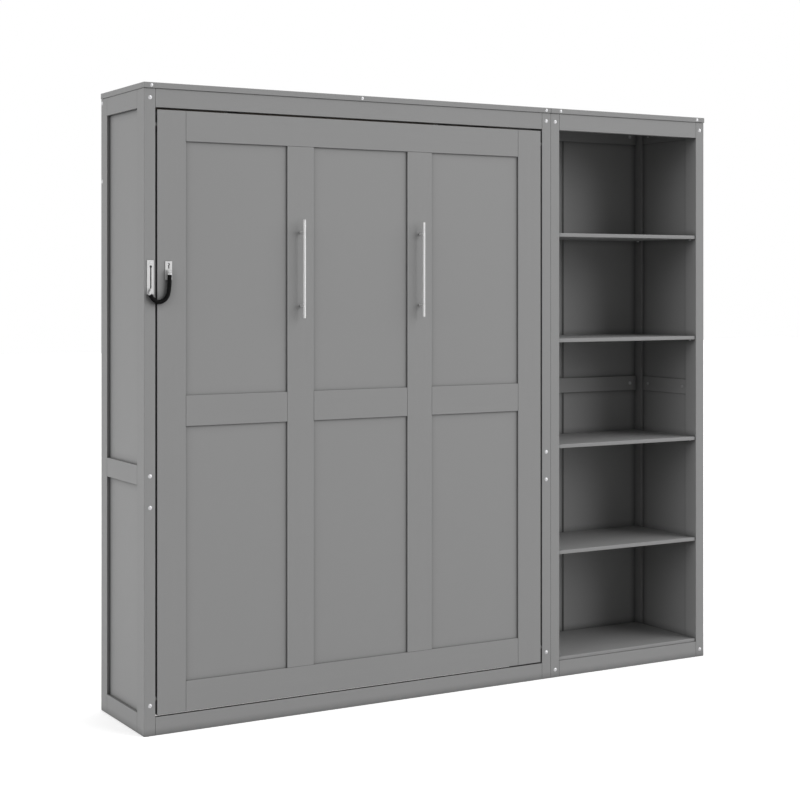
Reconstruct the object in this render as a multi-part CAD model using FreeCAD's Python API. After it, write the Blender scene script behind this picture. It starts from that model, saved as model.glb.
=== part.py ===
"""Wall bed with a shelf unit beside it: every piece as its own named solid.

Shop frame in millimetres: X to the right along the front, measured from the
left outer face of the bed cabinet, Y from the front faces of the posts towards
the wall, Z up from the floor.  The bed is shown folded up, the way it is kept.
"""
import math
import os

import FreeCAD
import Part

V = FreeCAD.Vector

# ---------------------------------------------------------------- overall
BED_W = 1697.0
UNIT_W = 778.0
TOTAL_W = BED_W + UNIT_W
HEIGHT = 2240.0
DEPTH = 421.0
LID_T = 20.0
LID_FRONT = 3.0
LID_END = 2.0
LID_STRIP = 18.0
BODY_H = HEIGHT - LID_T

# ---------------------------------------------------------------- posts and rails
POST_W = 41.5
POST_D_FRONT = 66.0
POST_D_REAR = 60.0
REAR_Y = DEPTH - POST_D_REAR
RAIL_T = 32.0
TOP_RAIL_Z = 2155.0
TOE_H = 63.0
TOE_T = 18.0
FRONT_RAIL_T = 22.0
SIDE_BOTTOM_H = 69.5
BED_MID_Z = (855.0, 923.0)
PANEL_T = 5.0
PANEL_X = 12.0
GROOVE = 8.0
REAR_RAIL_T = 20.0
REAR_RAILS_Z = ((TOP_RAIL_Z, BODY_H), (1900.0, 1940.0), BED_MID_Z, (30.0, 99.0))
INNER_RAILS_Z = ((70.0, 139.0), (748.0, 817.0))

# ---------------------------------------------------------------- bed front
GAP = 6.5
FRONT_X = (POST_W + GAP, BED_W - POST_W - GAP)
FRONT_Z = (68.0, 2148.0)
FRONT_T = 22.0
STILE_W = 106.5
END_RAIL_H = 105.5
MULLIONS_X = ((545.0, 652.0), (1044.0, 1151.0))
MID_RAIL_Z = (1055.5, 1162.5)
FIELD_Y = (6.0, 15.0)
FIELD_GROOVE = 10.0

# ---------------------------------------------------------------- folding bed frame
PIVOT = (40.0, 300.0)
BOARD_X = (58.5, 82.5)
BOARD_Y = (FRONT_T, 142.0)
BOARD_Z = (72.0, 2146.0)
END_T = 18.0
LEDGER_Y = (38.0, 60.0)
SLAT_T = 18.0
SLAT_H = 70.0
SLAT_COUNT = 14
PIN_R = 6.0
FIT = 0.05

# ---------------------------------------------------------------- gas struts
STRUT_X = 31.0
STRUT_A = (180.0, 735.0)
STRUT_B = (PIVOT[0] + 71.0, PIVOT[1] - 71.0)
TUBE_R = 10.0
TUBE_FROM = 16.0
TUBE_TO = 308.0
ROD_R = 4.0
ROD_TAIL = 235.0

# ---------------------------------------------------------------- foot leg
LEG_P = (100.0, 2110.0)
LEG_OFFSET = 60.0
LEG_DROP = 347.0
LEG_FOLD = 220.0
LEG_X = (49.5, 56.4)
LEG_HALF = 12.5
CROSS_R = 10.0
FOOT_R = 13.0

# ---------------------------------------------------------------- shelf unit
SHELF_TOPS = (1750.0, 1333.0, 915.0, 496.5)
SHELF_T = 15.0
SHELF_SIDE_GAP = 1.5
SHELF_Y = (4.0, 395.0)
BOTTOM_TOP = 77.0
UNIT_MID_Z = (1087.0, 1149.0)
UNIT_PANEL_T = 15.0
UNIT_PANEL_X = 13.0
BACK_RAIL_Y = (396.0, DEPTH)
BACK_PANEL_Y = (408.0, 413.0)
JOINER_X = (2045.0, 2054.0)

# ---------------------------------------------------------------- fittings
BOLT_X = 21.5
BOLT_R = 3.0
HEAD_R = 7.5
HEAD_H = 2.4
BOLT_LENGTH = 88.0
LID_SCREW_R = 2.0
LID_SCREW_HEAD_R = 6.5
LID_SCREW_HEAD_H = 2.0
LID_SCREW_LENGTH = 50.0
BED_BOLTS_Z = (2188.0, 890.0, 782.0, 104.0)
UNIT_BOLTS_Z = (2187.0, 30.0)
HANDLES_X = (598.5, 1097.5)
HANDLE_Z = (1426.0, 1779.0)
HANDLE_POSTS_Z = (1470.0, 1735.0)
HANDLE_R = 5.0
HANDLE_Y = -30.0
CHAIN_Y = -10.5
CHAIN_R = 7.4
CHAIN_X = 89.5
FERRULE_WALL = 0.7
CAP_R = 5.4
CHAIN_HINGE_Z = 1592.0
CHAIN_ROUTE = ((89.5, 1584.0), (89.5, 1537.4), (81.3, 1501.4), (58.1, 1484.6), (30.2, 1490.7),
               (18.0, 1512.3))
STUD_X = 23.9
STUD_Z = 1529.0
PLATE_T = 2.0
SLOT_PLATE_X = (10.0, 35.0)
SLOT_PLATE_Z = (1513.0, 1630.5)
SLOT_SCREWS_Z = (1519.0, 1623.0)
SLOT_HALF = 2.2
SLOT_TOP = 1608.0
SLOT_KEY_R = 4.5
ANCHOR_X = (77.0, 102.0)
ANCHOR_Z = (1562.0, 1627.0)
ANCHOR_KEY_Z = 1616.0
ANCHOR_SCREW_Z = 1568.0
ANCHOR_KEY_R = 4.4
ANCHOR_KEY_DROP = 14.0
PLATE_SCREW_R = 1.8
PLATE_SCREW_HEAD_R = 3.2

NODES = {}


# ---------------------------------------------------------------- helpers
def box(x0, x1, y0, y1, z0, z1):
    """Block between two corners."""
    return Part.makeBox(x1 - x0, y1 - y0, z1 - z0, V(x0, y0, z0))


def rod_x(x0, x1, y, z, r):
    """Round bar along X."""
    return Part.makeCylinder(r, x1 - x0, V(x0, y, z), V(1, 0, 0))


def rod_y(x, y0, y1, z, r):
    """Round bar along Y."""
    return Part.makeCylinder(r, y1 - y0, V(x, y0, z), V(0, 1, 0))


def rod_z(x, y, z0, z1, r):
    """Round bar along Z."""
    return Part.makeCylinder(r, z1 - z0, V(x, y, z0), V(0, 0, 1))


def cut_all(shape, tools):
    """Shape with every tool taken out of it."""
    return shape.cut(Part.makeCompound(tools)) if tools else shape


def mirror(shape, width=BED_W, start=0.0):
    """Copy on the other side of a cabinet."""
    return shape.mirror(V(start + width / 2, 0, 0), V(1, 0, 0))


def both(shape, width=BED_W, start=0.0):
    """A shape and its mirrored twin."""
    return [shape, mirror(shape, width, start)]


def node(name, shapes):
    """Register one named sub-part made of one or more solids."""
    solids = [s for shape in shapes for s in shape.Solids]
    NODES[name] = Part.makeCompound(solids)


def add(name, shapes):
    """Add more solids to a named sub-part."""
    node(name, ([NODES[name]] if name in NODES else []) + shapes)


def dome_bolt(x, z, face_y, length, r=BOLT_R, head_r=HEAD_R, head_h=HEAD_H):
    """Bolt along Y with a low domed head standing on the face."""
    sphere_r = (head_r ** 2 + head_h ** 2) / (2 * head_h)
    ball = Part.makeSphere(sphere_r, V(x, face_y - head_h + sphere_r, z))
    dome = ball.common(rod_y(x, face_y - head_h - 1, face_y, z, head_r + 1))
    recess = rod_y(x, face_y - head_h - 1, face_y - head_h / 2, z, r * 0.6)
    return dome.fuse(rod_y(x, face_y, face_y + length, z, r)).cut(recess).removeSplitter()


def side_bolt(y, z, face_x, length, r=BOLT_R, head_r=HEAD_R, head_h=HEAD_H):
    """Bolt along +X with its domed head outside the left face."""
    sphere_r = (head_r ** 2 + head_h ** 2) / (2 * head_h)
    ball = Part.makeSphere(sphere_r, V(face_x - head_h + sphere_r, y, z))
    dome = ball.common(rod_x(face_x - head_h - 1, face_x, y, z, head_r + 1))
    return dome.fuse(rod_x(face_x, face_x + length, y, z, r)).removeSplitter()


def capsule(p, q, r, x0, x1):
    """Flat bar with round ends between two (y, z) points."""
    dy = q[0] - p[0]
    dz = q[1] - p[1]
    length = math.hypot(dy, dz)
    bar = box(x0, x1, 0, length, -r, r)
    bar.rotate(V(0, 0, 0), V(1, 0, 0), math.degrees(math.atan2(dz, dy)))
    bar.translate(V(0, p[0], p[1]))
    ends = [rod_x(x0, x1, p[0], p[1], r), rod_x(x0, x1, q[0], q[1], r)]
    return bar.fuse(ends).removeSplitter()


# ---------------------------------------------------------------- bed cabinet
def side_panel_boxes(x0, thickness, zones, depth):
    """Panels of one cabinet side, reaching into grooves by the given depth."""
    y0 = POST_D_FRONT - depth
    y1 = REAR_Y + depth
    return [box(x0, x0 + thickness, y0, y1, z0 - depth, z1 + depth) for z0, z1 in zones]


def bed_cabinet():
    """Posts, rails, side panels and rear rails around the folding bed."""
    zones = ((SIDE_BOTTOM_H, BED_MID_Z[0]), (BED_MID_Z[1], TOP_RAIL_Z))
    grooves = side_panel_boxes(PANEL_X, PANEL_T, zones, GROOVE)
    panels = side_panel_boxes(PANEL_X, PANEL_T, zones, GROOVE - 1)
    bolt_holes = [rod_y(BOLT_X, -1, BOLT_LENGTH, z, BOLT_R) for z in BED_BOLTS_Z]
    rear_y = DEPTH - REAR_RAIL_T / 2
    rear_bolt_z = (2204.0, 1920.0)
    rear_holes = [rod_x(-1, 90, rear_y, z, BOLT_R) for z in rear_bolt_z]
    link_tools = unit_link_parts(as_holes=True)
    plate_holes = [rod_x(POST_W - 25, POST_W + 1, y, z, 2.5) for y, z in pivot_screw_points()]

    front = box(0, POST_W, 0, POST_D_FRONT, 0, BODY_H)
    front_left = cut_all(front, grooves + bolt_holes + plate_holes + chain_plate_holes())
    front_right = mirror(cut_all(front, grooves + bolt_holes + plate_holes))
    front_right = cut_all(front_right, link_tools)
    rear = cut_all(box(0, POST_W, REAR_Y, DEPTH, 0, BODY_H), grooves)
    rear_left = cut_all(rear, rear_holes)
    dowel_z = [z for z0, z1 in REAR_RAILS_Z for z in (z0 + 15, z1 - 15)]
    dowels = [rod_x(BED_W - POST_W - 18, BED_W - POST_W + 18, rear_y, z, 4.0) for z in dowel_z]
    rear_right = cut_all(mirror(rear), dowels + link_tools)
    node("bed_post_front_left", [front_left])
    node("bed_post_front_right", [front_right])
    node("bed_posts_rear", [rear_left, rear_right])

    rails_z = ((0.0, SIDE_BOTTOM_H), BED_MID_Z, (TOP_RAIL_Z, BODY_H))
    side = [box(0, RAIL_T, POST_D_FRONT, REAR_Y, z0, z1) for z0, z1 in rails_z]
    side = [cut_all(rail, grooves + bolt_holes) for rail in side]
    node("bed_side_rails", [s for rail in side for s in both(rail)])
    inner_x = PANEL_X + PANEL_T
    inner = [box(inner_x, POST_W, POST_D_FRONT, REAR_Y, z0, z1) for z0, z1 in INNER_RAILS_Z]
    strut_holes = [rod_x(POST_W - 20, POST_W + 1, y, z, 2.5) for y, z in strut_screw_points()]
    inner = [cut_all(rail, side + bolt_holes + strut_holes) for rail in inner]
    node("bed_inner_rails", [s for rail in inner for s in both(rail)])
    node("bed_side_panels", [s for panel in panels for s in both(panel)])

    x0 = POST_W
    x1 = BED_W - POST_W
    node("bed_front_rails", [box(x0, x1, 0, FRONT_RAIL_T, TOP_RAIL_Z, BODY_H),
                             box(x0, x1, 0, TOE_T, 0, TOE_H)])
    rear_rails = [box(x0, x1, DEPTH - REAR_RAIL_T, DEPTH, z0, z1) for z0, z1 in REAR_RAILS_Z]
    rear_rails = [cut_all(rail, rear_holes + dowels + bracket_screws()) for rail in rear_rails]
    node("bed_rear_rails", rear_rails)
    add("dowels", dowels)
    add("frame_bolts", [side_bolt(rear_y, z, 0, 90) for z in rear_bolt_z])


def lids():
    """Two top panels with their screwed front edge strips."""
    y_seam = LID_STRIP - LID_FRONT
    spans = ((-LID_END, BED_W - 0.3), (BED_W + 0.3, TOTAL_W + LID_END))
    screws_x = (26.0, 850.0, 1675.0, 1744.0, 2438.0)
    z = BODY_H + LID_T / 2
    screws = [dome_bolt(x, z, -LID_FRONT, LID_SCREW_LENGTH, LID_SCREW_R,
                        LID_SCREW_HEAD_R, LID_SCREW_HEAD_H) for x in screws_x]
    shanks = [rod_y(x, -LID_FRONT, LID_SCREW_LENGTH - LID_FRONT, z, LID_SCREW_R) for x in screws_x]
    names = ("bed_top_panel", "shelf_top_panel")
    strips = []
    for name, (x0, x1) in zip(names, spans):
        node(name, [cut_all(box(x0, x1, y_seam, DEPTH, BODY_H, HEIGHT), shanks)])
        strips.append(cut_all(box(x0, x1, -LID_FRONT, y_seam, BODY_H, HEIGHT), shanks))
    node("top_edge_strips", strips)
    node("top_edge_screws", screws)


def frame_bolts():
    """Domed bolts through the front posts into the side rails."""
    bolts = [dome_bolt(BOLT_X, z, 0, BOLT_LENGTH) for z in BED_BOLTS_Z]
    bolts = [s for bolt in bolts for s in both(bolt)]
    unit = [dome_bolt(BED_W + BOLT_X, z, 0, BOLT_LENGTH) for z in UNIT_BOLTS_Z]
    bolts += [s for bolt in unit for s in both(bolt, UNIT_W, BED_W)]
    add("frame_bolts", bolts)


def unit_link_parts(as_holes=False):
    """Bolts tying the two cabinets together through their neighbouring posts."""
    parts = []
    for y in (36.0, DEPTH - 24.0):
        for z in (560.0, 1560.0):
            shank = rod_x(BED_W - POST_W + 4, BED_W + 30, y, z, 3.0)
            head_end = BED_W - POST_W + (-1.0 if as_holes else 0.5)
            head = rod_x(head_end, BED_W - POST_W + 4, y, z, 6.0)
            parts.append(head.fuse(shank))
    return parts


def bracket_places():
    """Wall bracket centres along X."""
    return (300.0, 1400.0)


def bracket_screws():
    """Screws from the wall brackets up into the rear top rail."""
    return [rod_z(x + dx, DEPTH - 11.0, TOP_RAIL_Z - 3, TOP_RAIL_Z + 30, 2.0)
            for x in bracket_places() for dx in (-14.0, 14.0)]


def wall_brackets():
    """Steel angles under the rear top rail, drilled for the wall screws."""
    screws = bracket_screws()
    angles = []
    for x in bracket_places():
        flat = box(x - 25, x + 25, DEPTH - 20, DEPTH, TOP_RAIL_Z - 3, TOP_RAIL_Z)
        leg = box(x - 25, x + 25, DEPTH - 3, DEPTH, TOP_RAIL_Z - 74, TOP_RAIL_Z - 3)
        holes = [rod_y(x, DEPTH - 4, DEPTH + 1, TOP_RAIL_Z - d, 3.5) for d in (24.0, 56.0)]
        angles.append(cut_all(flat.fuse(leg).removeSplitter(), holes + screws))
    heads = [rod_z(s.CenterOfMass.x, DEPTH - 11.0, TOP_RAIL_Z - 5, TOP_RAIL_Z - 3, 4.5)
             for s in screws]
    node("wall_brackets", angles)
    add("cabinet_screws", [s.fuse(h).removeSplitter() for s, h in zip(screws, heads)])


def bed_stops():
    """Blocks under the top panel that the closed bed comes to rest on."""
    block = box(380, 430, 146, 186, TOP_RAIL_Z - 40, BODY_H)
    pad = rod_y(405, 142.3, 146, TOP_RAIL_Z - 20, 12.0)
    node("bed_stop_blocks", both(block))
    add("cabinet_pads", both(pad))


def gap_pads():
    """Small pads on the posts that centre the closed bed front."""
    pads = [rod_x(POST_W, POST_W + GAP - 1, 10.0, z, 8.0) for z in (2097.0, 125.0)]
    add("cabinet_pads", [s for pad in pads for s in both(pad)])


# ---------------------------------------------------------------- pivots and struts
def pivot_screw_points():
    """Screws of one pivot plate as (y, z)."""
    return [(y, PIVOT[1] + dz) for y in (26.0, 54.0) for dz in (-36.0, 36.0)]


def pivot_plates():
    """Steel plates on the front posts carrying the pins the bed turns on."""
    x0 = POST_W
    plate = box(x0, x0 + 3, 14, 62, PIVOT[1] - 50, PIVOT[1] + 50)
    screws = [rod_x(x0 - 22, x0 + 3, y, z, 2.5) for y, z in pivot_screw_points()]
    boss = rod_x(x0 + 3, x0 + 13, PIVOT[0], PIVOT[1], 12.0)
    pin = rod_x(x0 + 13, BOARD_X[1] - 1, PIVOT[0], PIVOT[1], PIN_R)
    part = cut_all(plate, screws).fuse([boss, pin]).removeSplitter()
    node("pivot_plates", both(part))
    add("cabinet_screws", [s for screw in screws for s in both(screw)])


def strut_screw_points():
    """Screws of one strut bracket as (y, z)."""
    return [(y, 783.0) for y in (STRUT_A[0] - 12, STRUT_A[0] + 12)]


def strut_brackets():
    """Plates on the strut rails with the upper strut studs."""
    x0 = POST_W
    ya, za = STRUT_A
    plate = box(x0, x0 + 3, ya - 22, ya + 22, za - 13, 805)
    screws = [rod_x(x0 - 18, x0 + 3, y, z, 2.5) for y, z in strut_screw_points()]
    stud = rod_x(STRUT_X - 10.5, x0, ya, za, 5.0)
    part = cut_all(plate, screws).fuse(stud).removeSplitter()
    clip = rod_x(STRUT_X - 9.5, STRUT_X - 8.2, ya, za, 7.5)
    node("strut_brackets", both(part))
    clip_ring = clip.cut(rod_x(STRUT_X - 12, STRUT_X, ya, za, 5.0))
    add("cabinet_screws", both(clip_ring) + [s for screw in screws for s in both(screw)])


def strut_shapes():
    """Cylinder and rod of one gas strut, laid from the upper stud to the lower one."""
    dy = STRUT_B[0] - STRUT_A[0]
    dz = STRUT_B[1] - STRUT_A[1]
    length = math.hypot(dy, dz)
    hub = rod_x(-8, 8, 0, 0, 9.0).cut(rod_x(-9, 9, 0, 0, 5.0 + FIT))
    neck = rod_z(0, 0, 8.0, TUBE_FROM, 5.0).cut(rod_x(-9, 9, 0, 0, 8.9))
    tube = rod_z(0, 0, TUBE_FROM, TUBE_TO, TUBE_R)
    bore = rod_z(0, 0, TUBE_FROM + 6, TUBE_TO - 14, TUBE_R - 2)
    mouth = rod_z(0, 0, TUBE_TO - 15, TUBE_TO + 1, ROD_R + FIT)
    cylinder = hub.fuse([neck, tube]).cut(Part.makeCompound([bore, mouth])).removeSplitter()
    tail = length - ROD_TAIL
    rod = rod_z(0, 0, tail, length - 8.0, ROD_R)
    piston = rod_z(0, 0, tail, tail + 8, TUBE_R - 2 - FIT)
    eye = rod_x(-6, 11, 0, length, 9.0)
    collar = rod_z(0, 0, length - 22, length - 8, 6.0)
    rod_part = rod.fuse([piston, eye, collar]).removeSplitter()
    angle = math.degrees(math.atan2(-dy, dz))
    for shape in (cylinder, rod_part):
        shape.rotate(V(0, 0, 0), V(1, 0, 0), angle)
        shape.translate(V(STRUT_X, STRUT_A[0], STRUT_A[1]))
    return cylinder, rod_part


def struts():
    """Left and right gas struts as four separate moving parts."""
    cylinder, rod_part = strut_shapes()
    node("strut_cylinder_left", [cylinder])
    node("strut_cylinder_right", [mirror(cylinder)])
    node("strut_rod_left", [rod_part])
    node("strut_rod_right", [mirror(rod_part)])


# ---------------------------------------------------------------- bed front
def column_spans():
    """X spans of the three panel columns."""
    x0 = FRONT_X[0] + STILE_W
    x1 = FRONT_X[1] - STILE_W
    edges = [x0] + [x for pair in MULLIONS_X for x in pair] + [x1]
    return [(edges[i], edges[i + 1]) for i in range(0, len(edges), 2)]


def row_spans():
    """Z spans of the two panel rows."""
    return [(FRONT_Z[0] + END_RAIL_H, MID_RAIL_Z[0]), (MID_RAIL_Z[1], FRONT_Z[1] - END_RAIL_H)]


def field_boxes(depth):
    """The six recessed panels, reaching into their grooves by the given depth."""
    return [box(x0 - depth, x1 + depth, FIELD_Y[0], FIELD_Y[1], z0 - depth, z1 + depth)
            for x0, x1 in column_spans() for z0, z1 in row_spans()]


def handle_screw_holes():
    """Clearance for the handle screws through the uprights."""
    return [rod_y(x, -13, FRONT_T + 1, z, 2.0) for x in HANDLES_X for z in HANDLE_POSTS_Z]


def bed_front():
    """Face frame, recessed panels and the two pull bars."""
    grooves = field_boxes(FIELD_GROOVE)
    z0, z1 = FRONT_Z
    inner = (z0 + END_RAIL_H, z1 - END_RAIL_H)
    left = box(FRONT_X[0], FRONT_X[0] + STILE_W, 0, FRONT_T, z0, z1)
    right = box(FRONT_X[1] - STILE_W, FRONT_X[1], 0, FRONT_T, z0, z1)
    node("front_stile_left", [cut_all(left, grooves)])
    node("front_stile_right", [cut_all(right, grooves)])
    x0 = FRONT_X[0] + STILE_W
    x1 = FRONT_X[1] - STILE_W
    end_rails = [box(x0, x1, 0, FRONT_T, a, b) for a, b in ((inner[1], z1), (z0, inner[0]))]
    node("front_end_rails", [cut_all(rail, grooves) for rail in end_rails])
    holes = handle_screw_holes()
    uprights = [box(a, b, 0, FRONT_T, inner[0], inner[1]) for a, b in MULLIONS_X]
    node("front_mullions", [cut_all(upright, grooves + holes) for upright in uprights])
    mids = [box(a, b, 0, FRONT_T, MID_RAIL_Z[0], MID_RAIL_Z[1]) for a, b in column_spans()]
    node("front_mid_rails", [cut_all(mid, grooves) for mid in mids])
    node("front_panels", field_boxes(FIELD_GROOVE - 1))

    bars = []
    for x in HANDLES_X:
        bar = rod_z(x, HANDLE_Y, HANDLE_Z[0], HANDLE_Z[1], HANDLE_R)
        rims = [edge for edge in bar.Edges if len(edge.Vertexes) == 1]
        bar = bar.makeChamfer(0.8, rims)
        bars.append(bar)
        for z in HANDLE_POSTS_Z:
            post = rod_y(x, HANDLE_Y, 0, z, 4.5)
            bars.append(cut_all(post, [bar] + holes))
    node("handles", bars)
    screws = [rod_y(x, -13, FRONT_T, z, 2.0).fuse(rod_y(x, FRONT_T, FRONT_T + 2.5, z, 4.5))
              for x in HANDLES_X for z in HANDLE_POSTS_Z]
    add("bed_screws", screws)


# ---------------------------------------------------------------- folding frame
def bed_frame():
    """Side boards, end boards, supports, slats, bushes and studs of the bed."""
    bx0, bx1 = BOARD_X
    board = box(bx0, bx1, BOARD_Y[0], BOARD_Y[1], BOARD_Z[0], BOARD_Z[1])
    bush_seat = rod_x(bx0 - 1, bx1 + 1, PIVOT[0], PIVOT[1], 9.0)
    leg_hole = rod_x(bx0 - 1, bx1 + 1, LEG_P[0], LEG_P[1], 5.0)
    stud_hole = rod_x(bx0 - 1, bx1 - 4, STRUT_B[0], STRUT_B[1], 4.0)
    board = cut_all(board, [bush_seat, leg_hole, stud_hole])
    node("bed_side_boards", both(board))
    ends = [box(bx1, BED_W - bx1, BOARD_Y[0], BOARD_Y[1], z, z + END_T)
            for z in (BOARD_Z[0], BOARD_Z[1] - END_T)]
    node("bed_end_boards", ends)

    z0 = BOARD_Z[0] + END_T
    z1 = BOARD_Z[1] - END_T
    ledger = box(bx1, bx1 + 22, LEDGER_Y[0], LEDGER_Y[1], z0, z1)
    beam = box(BED_W / 2 - 12, BED_W / 2 + 12, FRONT_T, LEDGER_Y[1], z0, z1)
    node("slat_supports", both(ledger) + [beam])
    pitch = (z1 - z0 - 80 - SLAT_H) / (SLAT_COUNT - 1)
    slats = []
    for i in range(SLAT_COUNT):
        z = z0 + 40 + i * pitch
        slats.append(box(bx1 + 1, BED_W - bx1 - 1, LEDGER_Y[1], LEDGER_Y[1] + SLAT_T, z, z + SLAT_H))
    node("slats", slats)

    flange = rod_x(bx0 - 1.5, bx0, PIVOT[0], PIVOT[1], 14.0)
    sleeve = rod_x(bx0, bx1, PIVOT[0], PIVOT[1], 9.0)
    bush = flange.fuse(sleeve).cut(rod_x(bx0 - 3, bx1 + 1, PIVOT[0], PIVOT[1], PIN_R + FIT))
    node("pivot_bushes", both(bush.removeSplitter()))
    stud = rod_x(STRUT_X + 12, bx0 - 2, STRUT_B[0], STRUT_B[1], 5.0)
    washer = rod_x(bx0 - 2, bx0, STRUT_B[0], STRUT_B[1], 12.0)
    thread = rod_x(bx0, bx1 - 4, STRUT_B[0], STRUT_B[1], 4.0)
    node("strut_studs", both(stud.fuse([washer, thread]).removeSplitter()))
    head = rod_x(LEG_X[0] - 2.6, LEG_X[0] - 0.1, LEG_P[0], LEG_P[1], 9.0)
    shank = rod_x(LEG_X[0] - 0.1, bx1, LEG_P[0], LEG_P[1], 5.0)
    spacer = rod_x(LEG_X[1] + 0.1, bx0, LEG_P[0], LEG_P[1], 10.0)
    node("leg_bolts", both(head.fuse([shank, spacer]).removeSplitter()))


def leg_points():
    """Knee and foot of the folded leg as (y, z), turned back from the standing pose."""
    a = math.radians(LEG_FOLD)
    points = []
    for y, z in ((0.0, LEG_OFFSET), (-LEG_DROP, LEG_OFFSET)):
        fy = y * math.cos(a) + z * math.sin(a)
        fz = -y * math.sin(a) + z * math.cos(a)
        points.append((LEG_P[0] + fy, LEG_P[1] + fz))
    return points


def foot_leg():
    """Two cranked arms joined by a cross tube with rubber feet."""
    knee, foot = leg_points()
    x0, x1 = LEG_X
    arm = capsule(LEG_P, knee, LEG_HALF, x0, x1).fuse(capsule(knee, foot, LEG_HALF, x0, x1))
    arm = arm.removeSplitter().cut(rod_x(x0 - 1, x1 + 1, LEG_P[0], LEG_P[1], 5.0 + FIT))
    node("leg_arms", both(arm))
    tube = rod_x(x1, BED_W - x1, foot[0], foot[1], CROSS_R)
    hollow = rod_x(x1 + 4, BED_W - x1 - 4, foot[0], foot[1], CROSS_R - 2)
    node("leg_cross_tube", [tube.cut(hollow)])
    foot_sleeve = rod_x(75, 165, foot[0], foot[1], FOOT_R)
    foot_sleeve = foot_sleeve.cut(rod_x(74, 166, foot[0], foot[1], CROSS_R))
    node("leg_feet", both(foot_sleeve))


# ---------------------------------------------------------------- shelf unit
def shelf_unit():
    """Open shelf cabinet standing against the bed cabinet."""
    x0 = BED_W
    x1 = TOTAL_W
    zones = ((SIDE_BOTTOM_H, UNIT_MID_Z[0]), (UNIT_MID_Z[1], TOP_RAIL_Z))
    panel_x = x0 + UNIT_PANEL_X
    grooves = side_panel_boxes(panel_x, UNIT_PANEL_T, zones, GROOVE)
    panels = side_panel_boxes(panel_x, UNIT_PANEL_T, zones, GROOVE - 1)
    bolt_holes = [rod_y(x0 + BOLT_X, -1, BOLT_LENGTH, z, BOLT_R) for z in UNIT_BOLTS_Z]
    pins = shelf_pin_parts()
    cams = side_cams()
    rear_tools = back_panel_boxes(GROOVE) + back_dowels()

    front = cut_all(box(x0, x0 + POST_W, 0, POST_D_FRONT, 0, BODY_H), grooves + bolt_holes)
    front = cut_all(front, pins + cams)
    rear = cut_all(box(x0, x0 + POST_W, REAR_Y, DEPTH, 0, BODY_H), grooves + pins + cams)
    links = unit_link_parts(as_holes=True)
    node("shelf_post_front_left", [cut_all(front, links)])
    node("shelf_post_front_right", [mirror(front, UNIT_W, x0)])
    rear_left = cut_all(rear, links + rear_tools)
    rear_right = cut_all(mirror(rear, UNIT_W, x0), rear_tools)
    node("shelf_posts_rear", [rear_left, rear_right])

    rails_z = ((0.0, TOE_H), UNIT_MID_Z, (TOP_RAIL_Z, BODY_H))
    side = [box(x0, x0 + RAIL_T, POST_D_FRONT, REAR_Y, z0, z1) for z0, z1 in rails_z]
    side = [cut_all(rail, grooves + bolt_holes + cams) for rail in side]
    node("shelf_side_rails", [s for rail in side for s in both(rail, UNIT_W, x0)])
    node("shelf_side_panels", [s for panel in panels for s in both(panel, UNIT_W, x0)])

    ix0 = x0 + POST_W
    ix1 = x1 - POST_W
    back = [box(ix0, ix1, BACK_RAIL_Y[0], BACK_RAIL_Y[1], z0, z1) for z0, z1 in rails_z]
    back_tools = back_panel_boxes(GROOVE) + back_dowels() + back_cams()
    node("shelf_back_rails", [cut_all(rail, back_tools) for rail in back])
    joiners = joiner_parts()
    node("shelf_back_panels", [cut_all(p, joiners) for p in back_panel_boxes(GROOVE - 1)])
    node("shelf_back_joiners", joiners)
    node("shelf_front_rails", [box(ix0, ix1, 0, FRONT_RAIL_T, TOP_RAIL_Z, BODY_H),
                               box(ix0, ix1, 0, FRONT_RAIL_T, 0, TOE_H)])
    gap = SHELF_SIDE_GAP
    node("shelf_bottom_board", [box(ix0 + gap, ix1 - gap, SHELF_Y[0], SHELF_Y[1], TOE_H, BOTTOM_TOP)])
    node("shelf_boards", [box(ix0 + gap, ix1 - gap, SHELF_Y[0], SHELF_Y[1], top - SHELF_T, top)
                          for top in SHELF_TOPS])
    node("shelf_pins", [s for pin in pins for s in both(pin, UNIT_W, x0)])
    cams = [s for cam in cams for s in both(cam, UNIT_W, x0)]
    node("cam_locks", cams + back_cams())
    add("dowels", back_dowels())


def shelf_pin_parts():
    """Pins under the left ends of the shelves, one in each post."""
    x = BED_W + POST_W
    pins = []
    for top in SHELF_TOPS:
        for y in (33.0, 380.0):
            pins.append(rod_x(x - 10, x + 9, y, top - SHELF_T - 2.5, 2.5))
    return pins


def side_cams():
    """Cam discs and their pins joining the left side rails to the posts."""
    cams = []
    for z0, z1 in (UNIT_MID_Z, (TOP_RAIL_Z, BODY_H)):
        z = (z0 + z1) / 2
        for face, sign in ((POST_D_FRONT, 1), (REAR_Y, -1)):
            y = face + sign * 34
            disc = rod_x(BED_W + RAIL_T - 12, BED_W + RAIL_T + 0.4, y, z, 7.5)
            near = min(face - sign * 10, y - sign * 7)
            far = max(face - sign * 10, y - sign * 7)
            pin = rod_y(BED_W + RAIL_T - 7, near, far, z, 2.5)
            cams.append(disc.fuse(pin) if (z0, z1) == UNIT_MID_Z else disc)
    return cams


def back_cams():
    """Cam discs in the front faces of the back rails."""
    xs = (BED_W + POST_W + 34, TOTAL_W - POST_W - 34)
    zs = [(z0 + z1) / 2 for z0, z1 in (UNIT_MID_Z, (TOP_RAIL_Z, BODY_H))]
    return [rod_y(x, BACK_RAIL_Y[0] - 0.4, BACK_RAIL_Y[0] + 9, z, 7.5) for x in xs for z in zs]


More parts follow.
